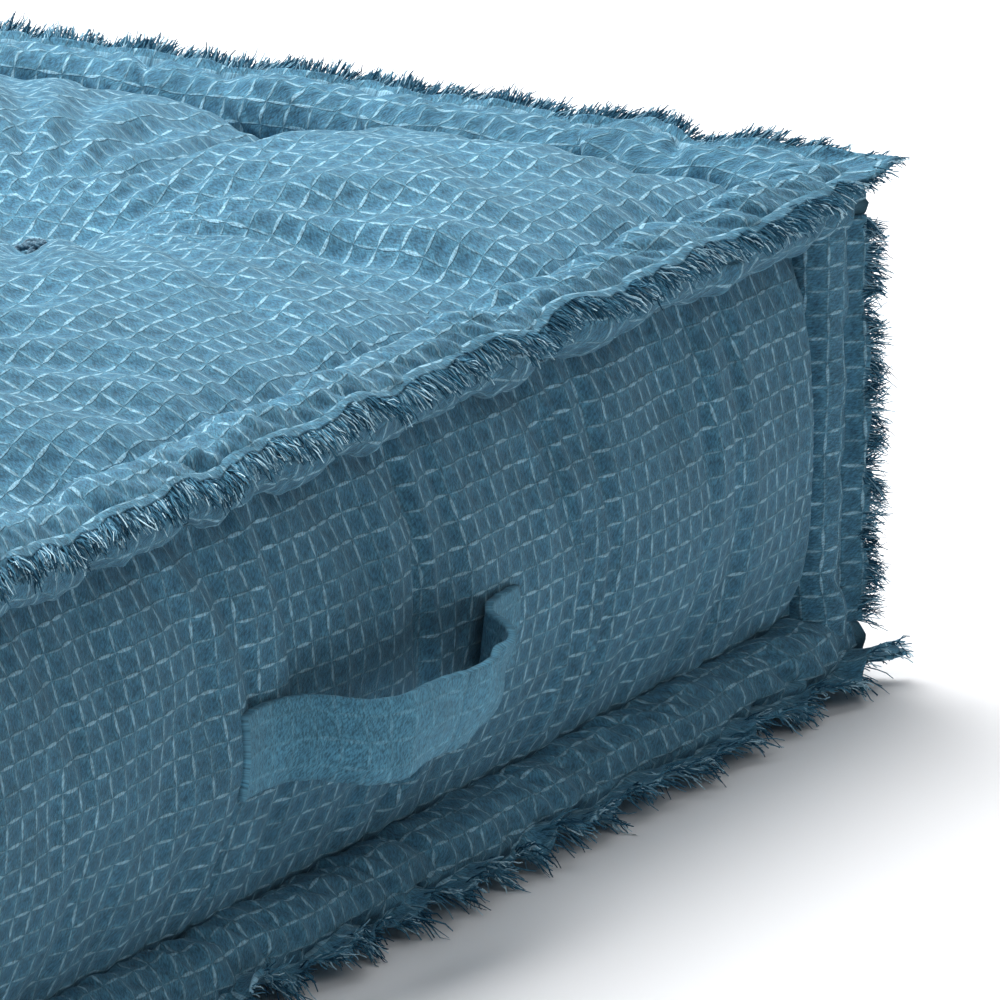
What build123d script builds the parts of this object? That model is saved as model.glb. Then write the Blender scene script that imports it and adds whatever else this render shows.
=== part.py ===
"""Square tufted floor cushion with rolled, frayed edges and a carrying handle on its front side.

The frame is +Z up, with the handle on the -Y side. The origin is on the floor, under the centre of the
cushion. Sizes are in millimetres and angles in degrees.
"""

from build123d import *
from math import cos, radians, sin, sqrt
import os

os.makedirs("parts", exist_ok=True)

# Overall sizes
length = 560.0               # along X, between the centre lines of the corner rolls
width = 560.0                # along Y, between the centre lines of the corner rolls
height = 154.0               # floor to the crest of the top rolls
crown = 20.0                 # how far the tufted top rises above that crest
side_bulge = 14.0            # how far a side panel stands out beyond the roll centre lines
plan_spare = 0.8             # how far a side's plan bow would pass outside the crest of its section bow

# Cloth, rolls and frayed edges
cloth = 1.2                  # thickness of the waffle cloth
roll_diameter = 23.0         # the rolled edges round the top and the bottom
corner_roll_diameter = 20.0  # the four upright rolled edges
edge_width = 12.0            # cut cloth edge with its fringe, beyond the roll
edge_thickness = 2.4         # two layers of cloth stitched together
top_edge_angle = 45.0        # above level
bottom_edge_angle = -25.0    # the bottom fringe droops towards the floor
seam_angle = 60.0            # where a side panel meets a roll, measured from level

# Tufted top and bottom
shoulder_slope = 60.0        # from upright, up to the crest of the rolls
crown_slope = 68.0           # from upright, above it
tuft_inset = 160.0           # roll centre line to the centre of a tuft
tuft_depth = 12.0            # top tuft seat below the crest of the rolls
tuft_seat_radius = 11.0
top_dimple_radius = 58.0     # where a dimple opens into the top
bottom_tuft_rise = 10.0      # bottom tuft seat above the floor
bottom_dimple_radius = 34.0  # where a dimple opens into the bottom
knot_diameter = 14.0
knot_thickness = 4.0
twine_diameter = 3.0
twine_clearance = 0.25       # radial, where the twine passes through filling and cloth

# Handle
handle_length = 146.0        # over both stitched ends
handle_width = 23.0
handle_drop = 5.0            # its centre line below the middle of the side
strap_thickness = 2.4
strap_reach = 25.0           # centre line of the strap between its bends, beyond the side panel
strap_bend = 33.0            # where the strap turns back at each end, along X from the middle
strap_bend_radius = 6.0
strap_rise = 8.0             # centre line of the strap at its ends, beyond the side panel
stitched_length = 14.0       # of each end, flat against the side panel
lift_length = 8.0            # from the stitched length to the start of the swinging strap
strap_gap = 0.5              # between a stitched end and the swinging strap

# Worked out from the sizes above
roll_radius = roll_diameter / 2
corner_radius = corner_roll_diameter / 2
ring_low = roll_radius
ring_high = height - roll_radius
middle = (ring_low + ring_high) / 2
mitre_reach = roll_radius + edge_width
tuft_z = height - tuft_depth
handle_z = middle - handle_drop
face_y = -(width / 2 + side_bulge)
tuft_x = length / 2 - tuft_inset
tuft_y = width / 2 - tuft_inset
tuft_spots = [(sx * tuft_x, sy * tuft_y) for sx in (-1, 1) for sy in (-1, 1)]

# For each side: its turn about Z from the front, the run of its edge, and the reach of its roll line
sides = {
    "front": (0, length, width / 2),
    "right": (90, width, length / 2),
    "back": (180, length, width / 2),
    "left": (270, width, length / 2),
}
levels = {"top": (ring_high, top_edge_angle), "bottom": (ring_low, bottom_edge_angle)}
corners = {
    "front_left": (-1, -1),
    "front_right": (1, -1),
    "back_right": (1, 1),
    "back_left": (-1, 1),
}


def save(piece, name):
    """Labels a finished piece and writes its STEP file."""
    piece.part.label = name
    export_step(piece.part, f"parts/{name}.step")


def level_plane(turn):
    """Level plane whose -Y looks out of the side at that turn."""
    return Plane.XY.rotated((0, 0, turn))


def section_plane(turn):
    """Upright plane across an edge: sketch -X is outward and sketch Y is up."""
    frame = level_plane(turn)
    return Plane(origin=(0, 0, 0), x_dir=frame.y_dir, z_dir=frame.x_dir)


def mitre_space(side):
    """Everything that is nearer to one side's edge than to its neighbours' edges."""
    turn, run, reach = sides[side]
    out_x, out_y = run / 2 + mitre_reach, -reach - mitre_reach
    in_x, in_y = run / 2 - roll_diameter, -reach + roll_diameter
    with BuildPart() as space:
        with BuildSketch(level_plane(turn)):
            Polygon((out_x, out_y), (in_x, in_y), (-in_x, in_y), (-out_x, out_y), align=None)
        extrude(amount=height + edge_width)
    return space.part


def roll_rod(side, z, radius):
    """Plain rod in place of one level roll, run past its mitres."""
    turn, run, reach = sides[side]
    with BuildPart() as rod:
        with BuildSketch(section_plane(turn)):
            with Locations((-reach, z)):
                Circle(radius)
        extrude(amount=run / 2 + mitre_reach, both=True)
    return rod.part


def mitred_rod(side, z, radius):
    """The same rod, cut to its mitres."""
    with BuildPart() as rod:
        add(roll_rod(side, z, radius))
        add(mitre_space(side), mode=Mode.INTERSECT)
    return rod.part


level_rods = {(level, side): roll_rod(side, z, roll_radius)
              for level, (z, _) in levels.items() for side in sides}


def corner_rod(corner, radius):
    """Upright rod in place of one corner roll, saddled onto the level rolls above and below it."""
    sx, sy = corners[corner]
    with BuildPart() as rod:
        with BuildSketch(Plane.XY.offset(ring_low)):
            with Locations((sx * length / 2, sy * width / 2)):
                Circle(radius)
        extrude(amount=ring_high - ring_low)
        for level in levels:
            for side in corner.split("_"):
                add(level_rods[level, side], mode=Mode.SUBTRACT)
    return rod.part


corner_rods = {corner: corner_rod(corner, corner_radius) for corner in corners}


def side_pillow(side, inset):
    """One side's bulge: a bowed section and a bowed plan, intersected, then cut clear of the rolls.
    Its face lies inset under the outer face of the cloth, and both bows run a cloth's depth into the
    rolls before they are cut. The section bow alone shapes the crest, and the plan bow the ends."""
    turn, run, reach = sides[side]
    root = reach - roll_diameter
    crest = reach + side_bulge - inset
    in_roll = roll_radius - cloth
    in_corner = corner_radius - cloth
    low = ring_low + in_roll * sin(radians(seam_angle))
    high = ring_high - in_roll * sin(radians(seam_angle))
    rim = reach + in_roll * cos(radians(seam_angle)) - inset
    end = run / 2 - in_corner * sin(radians(seam_angle))
    end_rim = reach + in_corner * cos(radians(seam_angle)) - inset
    with BuildPart() as pillow:
        with BuildSketch(section_plane(turn)):
            with BuildLine():
                ThreePointArc((-rim, low), (-crest, middle), (-rim, high))
                Polyline((-rim, high), (-root, high), (-root, low), (-rim, low))
            make_face()
        extrude(amount=end, both=True)
        with BuildSketch(level_plane(turn)):
            with BuildLine():
                ThreePointArc((-end, -end_rim), (0, -crest - plan_spare), (end, -end_rim))
                Polyline((end, -end_rim), (end, -root), (-end, -root), (-end, -end_rim))
            make_face()
        extrude(amount=height, mode=Mode.INTERSECT)
        for rod in level_rods.values():
            add(rod, mode=Mode.SUBTRACT)
        for corner in corners:
            if side in corner.split("_"):
                add(corner_rods[corner], mode=Mode.SUBTRACT)
    return pillow.part


pillows = {(side, inset): side_pillow(side, inset) for side in sides for inset in (0, cloth)}


def crowned_top(drop):
    """Solid under the tufted top: two sloped steps, with a dimple at each tuft, lowered by drop."""
    base = tuft_z - cloth
    rim = sqrt(roll_radius**2 - (base - ring_high) ** 2)
    shoulder = height - base
    inset = rim + shoulder * sin(radians(shoulder_slope)) / cos(radians(shoulder_slope))
    with BuildPart() as top:
        with BuildSketch(Plane.XY.offset(base - drop)):
            Rectangle(length - 2 * rim, width - 2 * rim)
        extrude(amount=shoulder, taper=shoulder_slope)
        with BuildSketch(Plane.XY.offset(height - drop)):
            Rectangle(length - 2 * inset, width - 2 * inset)
        extrude(amount=crown, taper=crown_slope)
        for x, y in tuft_spots:
            with BuildSketch(Plane.XY.offset(tuft_z - drop)):
                with Locations((x, y)):
                    Circle(tuft_seat_radius)
            with BuildSketch(Plane.XY.offset(height + crown - drop)):
                with Locations((x, y)):
                    Circle(top_dimple_radius)
            loft(mode=Mode.SUBTRACT)
    return top.part


def bottom_dimples(lift):
    """Space of the bottom dimples, raised by lift."""
    with BuildPart() as dimples:
        for x, y in tuft_spots:
            with BuildSketch(Plane.XY.offset(lift)):
                with Locations((x, y)):
                    Circle(bottom_dimple_radius)
            with BuildSketch(Plane.XY.offset(bottom_tuft_rise + lift)):
                with Locations((x, y)):
                    Circle(tuft_seat_radius)
            loft()
    return dimples.part


# The way of the tufting twine through the filling and the panels
with BuildPart() as twine_holes:
    with BuildSketch():
        with Locations(*tuft_spots):
            Circle(twine_diameter / 2 + twine_clearance)
    extrude(amount=height)

# Filling: one block of fibre, crowned on top, bulging into every side panel
block_top = tuft_z - 2 * cloth
with BuildPart() as filling_core:
    with BuildSketch(Plane.XY.offset(cloth)):
        Rectangle(length - roll_diameter, width - roll_diameter)
    extrude(amount=block_top - cloth)
    add(crowned_top(cloth))
    for side in sides:
        add(pillows[side, cloth])
    add(bottom_dimples(cloth), mode=Mode.SUBTRACT)
    add(twine_holes.part, mode=Mode.SUBTRACT)
save(filling_core, "filling_core")

# Top panel: the crowned sheet, lying on the filling and ending at the rolls
with BuildPart() as top_panel:
    add(crowned_top(0))
    add(crowned_top(cloth), mode=Mode.SUBTRACT)
    add(twine_holes.part, mode=Mode.SUBTRACT)
save(top_panel, "top_panel")

# Bottom panel: flat on the floor, drawn up at each tuft
flat_reach = sqrt(roll_radius**2 - (ring_low - cloth) ** 2)
with BuildPart() as bottom_panel:
    with BuildSketch():
        Rectangle(length - 2 * flat_reach, width - 2 * flat_reach)
    extrude(amount=cloth)
    add(bottom_dimples(cloth))
    add(bottom_dimples(0), mode=Mode.SUBTRACT)
    add(twine_holes.part, mode=Mode.SUBTRACT)
save(bottom_panel, "bottom_panel")

# Side panels: bulging sheets between the rolls
for side in sides:
    with BuildPart() as side_panel:
        add(pillows[side, 0])
        add(pillows[side, cloth], mode=Mode.SUBTRACT)
    save(side_panel, f"{side}_panel")

# Level rolls: a tube of cloth along each top and bottom edge, mitred at the corners
for level, (z, _) in levels.items():
    for side in sides:
        with BuildPart() as roll:
            add(mitred_rod(side, z, roll_radius))
            add(roll_rod(side, z, roll_radius - cloth), mode=Mode.SUBTRACT)
        save(roll, f"{level}_{side}_roll")

# Corner rolls: upright tubes of cloth between the top and bottom rolls
for corner in corners:
    with BuildPart() as corner_roll:
        add(corner_rods[corner])
        with BuildSketch():
            with Locations((corners[corner][0] * length / 2, corners[corner][1] * width / 2)):
                Circle(corner_radius - cloth)
        extrude(amount=height, mode=Mode.SUBTRACT)
    save(corner_roll, f"{corner}_corner_roll")

# Wadding that fills the rolls
for level, (z, _) in levels.items():
    with BuildPart() as wadding:
        for side in sides:
            add(mitred_rod(side, z, roll_radius - cloth))
    save(wadding, f"{level}_roll_wadding")
with BuildPart() as corner_wadding:
    for corner in corners:
        add(corner_rod(corner, corner_radius - cloth))
save(corner_wadding, "corner_roll_wadding")

# Frayed edges: the stitched cut edges of two panels, standing out of each level roll
edge_root = roll_radius - cloth
mid_edge = (edge_root + roll_radius + edge_width) / 2
for level, (z, angle) in levels.items():
    for side, (turn, run, reach) in sides.items():
        with BuildPart() as frayed_edge:
            with BuildSketch(section_plane(turn)):
                with Locations(
                    Location(
                        (-reach - mid_edge * cos(radians(angle)), z + mid_edge * sin(radians(angle))),
                        -angle,
                    )
                ):
                    Rectangle(roll_radius + edge_width - edge_root, edge_thickness)
            extrude(amount=run / 2 + mitre_reach, both=True)
            add(mitre_space(side), mode=Mode.INTERSECT)
            add(level_rods[level, side], mode=Mode.SUBTRACT)
        save(frayed_edge, f"{level}_{side}_frayed_edge")

# Frayed edges of the upright rolls, pointing out from each corner
spoke = (corner_radius - cloth + corner_radius + edge_width) / 2 / sqrt(2)
for corner, (sx, sy) in corners.items():
    with BuildPart() as frayed_corner:
        with BuildSketch(Plane.XY.offset(roll_diameter)):
            with Locations(Location((sx * (length / 2 + spoke), sy * (width / 2 + spoke)), 45 * sx * sy)):
                Rectangle(edge_width + cloth, edge_thickness)
        extrude(amount=height - 2 * roll_diameter)
        add(corner_rods[corner], mode=Mode.SUBTRACT)
    save(frayed_corner, f"{corner}_frayed_edge")

# Tufting: twine through the filling, tied off in a knot above and below
with BuildPart() as tufting_twine:
    with BuildSketch(Plane.XY.offset(bottom_tuft_rise)):
        with Locations(*tuft_spots):
            Circle(twine_diameter / 2)
    extrude(amount=tuft_z - bottom_tuft_rise)
save(tufting_twine, "tufting_twine")

for level, base in (("top", tuft_z), ("bottom", bottom_tuft_rise - knot_thickness)):
    with BuildPart() as knots:
        with BuildSketch(Plane.XY.offset(base)):
            with Locations(*tuft_spots):
                Circle(knot_diameter / 2)
        extrude(amount=knot_thickness)
        fillet(knots.edges().filter_by(GeomType.CIRCLE), knot_thickness / 4)
    save(knots, f"{level}_tuft_knots")

# Handle: two ends stitched to the front panel and a bowed strap that swings between them
half_strap = strap_thickness / 2
stitched_end = handle_length / 2 - stitched_length
strap_end = stitched_end - lift_length
for end, sx in (("left", -1), ("right", 1)):
    with BuildPart() as handle_end:
        with BuildSketch(Plane.XY.offset(handle_z - handle_width / 2)):
            Polygon(
                (sx * handle_length / 2, face_y + strap_thickness),
                (sx * handle_length / 2, face_y - strap_thickness),
                (sx * stitched_end, face_y - strap_thickness),
                (sx * strap_end, face_y - strap_rise - half_strap),
                (sx * strap_end, face_y - strap_rise + half_strap),
                (sx * (stitched_end - half_strap), face_y),
                (sx * (stitched_end - half_strap), face_y + strap_thickness),
                align=None,
            )
        extrude(amount=handle_width)
        add(pillows["front", 0], mode=Mode.SUBTRACT)
    save(handle_end, f"handle_{end}_end")

swing_end = strap_end - strap_gap
with BuildPart() as handle_strap:
    with BuildSketch(Plane.XY.offset(handle_z - handle_width / 2)):
        with BuildLine():
            FilletPolyline(
                (-swing_end, face_y - strap_rise),
                (-strap_bend, face_y - strap_reach),
                (strap_bend, face_y - strap_reach),
                (swing_end, face_y - strap_rise),
                radius=strap_bend_radius,
            )
        trace(line_width=strap_thickness)
        Rectangle(2 * swing_end, 2 * width, mode=Mode.INTERSECT)
    extrude(amount=handle_width)
save(handle_strap, "handle_strap")
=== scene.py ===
import math

import bpy
import numpy as np
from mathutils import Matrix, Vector


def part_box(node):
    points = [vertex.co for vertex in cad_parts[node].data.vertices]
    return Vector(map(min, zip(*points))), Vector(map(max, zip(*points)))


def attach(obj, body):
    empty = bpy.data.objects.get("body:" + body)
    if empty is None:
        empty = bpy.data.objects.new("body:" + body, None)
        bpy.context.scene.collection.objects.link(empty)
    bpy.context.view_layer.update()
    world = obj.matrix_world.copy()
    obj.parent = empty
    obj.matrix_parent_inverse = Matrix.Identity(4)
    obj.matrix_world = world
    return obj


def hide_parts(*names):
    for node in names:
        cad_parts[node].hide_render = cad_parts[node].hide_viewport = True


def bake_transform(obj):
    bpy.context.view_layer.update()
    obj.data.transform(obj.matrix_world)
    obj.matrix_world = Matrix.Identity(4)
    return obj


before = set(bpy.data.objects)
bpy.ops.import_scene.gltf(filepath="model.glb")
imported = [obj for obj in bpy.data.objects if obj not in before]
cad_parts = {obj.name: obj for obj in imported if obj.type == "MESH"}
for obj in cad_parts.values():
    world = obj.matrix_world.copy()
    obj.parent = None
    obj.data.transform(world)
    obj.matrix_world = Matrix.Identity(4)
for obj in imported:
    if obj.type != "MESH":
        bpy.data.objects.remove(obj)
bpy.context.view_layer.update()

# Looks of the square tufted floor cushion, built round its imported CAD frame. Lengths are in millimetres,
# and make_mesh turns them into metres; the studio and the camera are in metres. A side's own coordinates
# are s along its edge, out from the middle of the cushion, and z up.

PI = math.pi


# ---------------------------------------------------------------- sizes, read from the frame

def box(node):
    """Lowest and highest corner of a CAD node, in millimetres."""
    low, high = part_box(node)
    return np.array(low) * 1000, np.array(high) * 1000


roll_low, roll_high = box("top_front_roll")
ROLL = (roll_high[2] - roll_low[2]) / 2
REACH = -(roll_low[1] + roll_high[1]) / 2
TOP_Z = (roll_low[2] + roll_high[2]) / 2
BOTTOM_Z = box("bottom_front_roll")[1][2] - ROLL
MIDDLE_Z = (TOP_Z + BOTTOM_Z) / 2
corner_low, corner_high = box("front_right_corner_roll")
CORNER_ROLL = (corner_high[0] - corner_low[0]) / 2
FACE = -box("front_panel")[0][1]
CREST_Z = box("top_panel")[1][2]
knot_low, knot_high = box("top_tuft_knots")
KNOT = 7.0           # radius of a tuft knot
TUFT = knot_high[0] - KNOT
TUFT_Z = knot_low[2]
BOTTOM_TUFT_Z = box("bottom_tuft_knots")[1][2]
EDGE_OUT = box("top_right_frayed_edge")[1][0]
handle_low, handle_high = box("handle_strap")
HANDLE_Z = (handle_low[2] + handle_high[2]) / 2
HANDLE_WIDTH = handle_high[2] - handle_low[2]
HANDLE_HALF = box("handle_right_end")[1][0]
HANDLE_REACH = -handle_low[1] - FACE

CELL = 7.2           # waffle cell
CELLS = 76           # cells across a panel
BOW = 4.0            # how far each edge bows out at mid-side
SEAM = REACH - ROLL * 0.5   # middle of the cushion to the seams of the top and bottom panels
ROLL_STEP = 4 / 3    # grid step of a roll's cloth
WADDING = 0.7        # radius of the wadding, as a share of its roll's
WADDING_STEP = 4.0   # grid step of the wadding
FRAMES = 20          # steps of a cloth simulation
SLACK = 0.012        # how much larger than its seams each panel is cut
TURNS = {"front": 0, "right": 90, "back": 180, "left": 270}
CORNERS = {"front_left": (-1, -1), "front_right": (1, -1), "back_right": (1, 1), "back_left": (-1, 1)}


# ---------------------------------------------------------------- small tools

def place(side, s, out, z):
    """Points in the part's frame from a side's own coordinates."""
    turn = math.radians(TURNS[side])
    c, d = round(math.cos(turn)), round(math.sin(turn))
    return np.stack([s * c + out * d, s * d - out * c, z + 0 * s], -1)


def smooth(x, low, high):
    """Smooth step from 0 at low to 1 at high."""
    t = np.clip((x - low) / (high - low), 0, 1)
    return t * t * (3 - 2 * t)


def waves(seed, length, *coords, count=9):
    """Smooth noise of unit spread, with features about that long."""
    rng = np.random.default_rng(seed)
    total = 0
    for _ in range(count):
        direction = rng.normal(size=len(coords))
        direction *= rng.uniform(0.55, 1.5) / np.linalg.norm(direction)
        phase = rng.uniform(0, 2 * PI)
        total = total + np.sin(2 * PI * sum(d * c for d, c in zip(direction, coords)) / length + phase)
    return total / math.sqrt(count / 2)


def normals(points, closed=False):
    """Unit normals of an (n, m, 3) grid of points."""
    if closed:
        across = np.roll(points, -1, 1) - np.roll(points, 1, 1)
    else:
        across = np.gradient(points, axis=1)
    normal = np.cross(np.gradient(points, axis=0), across)
    return normal / np.maximum(np.linalg.norm(normal, axis=2, keepdims=True), 1e-9)


def finer(grid):
    """A grid with twice as many cells each way, through the same points."""
    for _ in range(2):
        padded = np.concatenate([2 * grid[:1] - grid[1:2], grid, 2 * grid[-1:] - grid[-2:-1]])
        middles = (9 * (padded[1:-2] + padded[2:-1]) - padded[:-3] - padded[3:]) / 16
        out = np.empty((2 * len(grid) - 1, *grid.shape[1:]))
        out[0::2], out[1::2] = grid, middles
        grid = np.swapaxes(out, 0, 1)
    return grid


def waffle(weave, depth=0.2):
    """Relief of the waffle cloth: each cell is a shallow inverted pyramid between its threads."""
    across = np.abs((weave / CELL) % 1 - 0.5) * 2
    return depth * (np.max(across, axis=-1) - 0.7)


def make_mesh(name, points, faces, maps, material, body="cushion"):
    """A smooth mesh object from points in millimetres. maps holds one (corner, 2) array per UV map."""
    mesh = bpy.data.meshes.new(name)
    mesh.from_pydata((points / 1000).tolist(), [], faces.tolist())
    for map_name, values in maps.items():
        layer = mesh.uv_layers.new(name=map_name)
        layer.data.foreach_set("uv", values.astype(np.float32).ravel())
    mesh.polygons.foreach_set("use_smooth", [True] * len(mesh.polygons))
    mesh.materials.append(material)
    mesh.update()
    obj = bpy.data.objects.new(name, mesh)
    bpy.context.scene.collection.objects.link(obj)
    if body:
        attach(obj, body)
    return obj


def grid_mesh(name, points, weave, material, closed=False, flip=False, body="cushion"):
    """A grid of points as a mesh. A closed grid's weave has one column more than its points."""
    n, m = points.shape[:2]
    columns = m if closed else m - 1
    i, j = np.meshgrid(np.arange(n - 1), np.arange(columns), indexing="ij")
    ring = [(i, j), (i + 1, j), (i + 1, j + 1), (i, j + 1)]
    if flip:
        ring = ring[::-1]
    corners = np.stack([np.stack([a.ravel(), b.ravel()], -1) for a, b in ring], 1)
    if closed:
        k = np.arange(m // 2 - 1)
        ladder = np.stack([k, k + 1, m - 2 - k, m - 1 - k], -1)
        foot = np.stack([0 * ladder, ladder], -1)
        head = np.stack([0 * ladder + n - 1, ladder], -1)
        corners = np.concatenate([corners, foot[:, ::-1] if flip else foot, head if flip else head[:, ::-1]])
    faces = corners[..., 0] * m + corners[..., 1] % m
    corners = corners.reshape(-1, 2)
    maps = {
        "OFBake": corners / np.array([n - 1, columns]) * 0.98 + 0.01,
        "weave": weave[corners[:, 0], corners[:, 1]],
    }
    return make_mesh(name, points.reshape(-1, 3), faces, maps, material, body)


def simulate(points, held, pressure):
    """Cloth simulation of a grid: held points stay, and pressure swells the slack cloth between them."""
    n, m = points.shape[:2]
    i, j = np.meshgrid(np.arange(n - 1), np.arange(m - 1), indexing="ij")
    faces = np.stack([i * m + j, (i + 1) * m + j, (i + 1) * m + j + 1, i * m + j + 1], -1).reshape(-1, 4)
    mesh = bpy.data.meshes.new("cloth")
    mesh.from_pydata((points.reshape(-1, 3) / 1000).tolist(), [], faces.tolist())
    obj = bpy.data.objects.new("cloth", mesh)
    bpy.context.scene.collection.objects.link(obj)
    group = obj.vertex_groups.new(name="held")
    group.add(np.flatnonzero(held.ravel()).tolist(), 1.0, "REPLACE")
    cloth = obj.modifiers.new("Cloth", "CLOTH")
    s = cloth.settings
    s.quality = 6
    s.mass = 0.25
    s.air_damping = 3.0
    s.tension_stiffness = s.compression_stiffness = 20
    s.shear_stiffness = 4
    s.bending_stiffness = 6
    s.tension_damping = s.compression_damping = 15
    s.shear_damping = 5
    s.bending_damping = 2
    s.shrink_min = s.shrink_max = -SLACK
    s.use_pressure = True
    s.uniform_pressure_force = pressure
    s.vertex_group_mass = "held"
    s.effector_weights.gravity = 0
    cloth.collision_settings.use_collision = False
    cloth.point_cache.frame_start = 1
    cloth.point_cache.frame_end = FRAMES
    scene = bpy.context.scene
    for frame_number in range(1, FRAMES + 1):
        scene.frame_set(frame_number)
    evaluated = obj.evaluated_get(bpy.context.evaluated_depsgraph_get())
    co = np.empty(len(mesh.vertices) * 3, np.float32)
    evaluated.data.vertices.foreach_get("co", co)
    scene.frame_set(1)
    bpy.data.objects.remove(obj)
    bpy.data.meshes.remove(mesh)
    return co.reshape(n, m, 3).astype(float) * 1000


# ---------------------------------------------------------------- materials

class Nodes:
    """A material and short ways to add nodes to it."""

    def __init__(self, name):
        self.material = bpy.data.materials.new(name)
        self.material.use_nodes = True
        self.tree = self.material.node_tree
        self.shader = self.tree.nodes["Principled BSDF"]

    def add(self, kind, inputs=(), **settings):
        """A node of that kind, its settings, and its inputs by index or name."""
        node = self.tree.nodes.new(kind)
        for key, value in settings.items():
            setattr(node, key, value)
        for key, value in dict(inputs).items():
            if isinstance(value, bpy.types.NodeSocket):
                self.tree.links.new(value, node.inputs[key])
            else:
                node.inputs[key].default_value = value
        return node

    def math(self, operation, *values):
        """Result of a maths node."""
        node = self.add("ShaderNodeMath", dict(enumerate(values)), operation=operation)
        return node.outputs[0]

    def vector(self, operation, *values):
        """Result of a vector maths node."""
        node = self.add("ShaderNodeVectorMath", dict(enumerate(values)), operation=operation)
        return node.outputs[0]

    def scale(self, vector, factor):
        """A vector or a colour times a number."""
        return self.add("ShaderNodeVectorMath", {0: vector, 3: factor}, operation="SCALE").outputs[0]

    def mix(self, factor, a, b):
        """Mix of two colours."""
        node = self.add("ShaderNodeMix", {0: factor, 6: a, 7: b}, data_type="RGBA")
        return node.outputs[2]

    def ramp(self, value, low, high, to_low=0.0, to_high=1.0):
        """Value mapped smoothly from one range to another."""
        inputs = {0: value, 1: low, 2: high, 3: to_low, 4: to_high}
        return self.add("ShaderNodeMapRange", inputs, interpolation_type="SMOOTHSTEP").outputs[0]

    def noise(self, vector, scale, detail=2.0, roughness=0.5):
        """Noise from 0 to 1."""
        inputs = {"Vector": vector, "Scale": scale, "Detail": detail, "Roughness": roughness}
        return self.add("ShaderNodeTexNoise", inputs).outputs["Fac"]

    def set(self, **values):
        """Values of the shader's own inputs, with spaces for underscores."""
        for key, value in values.items():
            socket = self.shader.inputs[key.replace("_", " ")]
            if isinstance(value, bpy.types.NodeSocket):
                self.tree.links.new(value, socket)
            else:
                socket.default_value = value


def colour(r, g, b):
    """Linear colour of an sRGB one from 0 to 255."""
    values = [c / 255 for c in (r, g, b)]
    return [c / 12.92 if c <= 0.04045 else ((c + 0.055) / 1.055) ** 2.4 for c in values] + [1.0]


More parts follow.
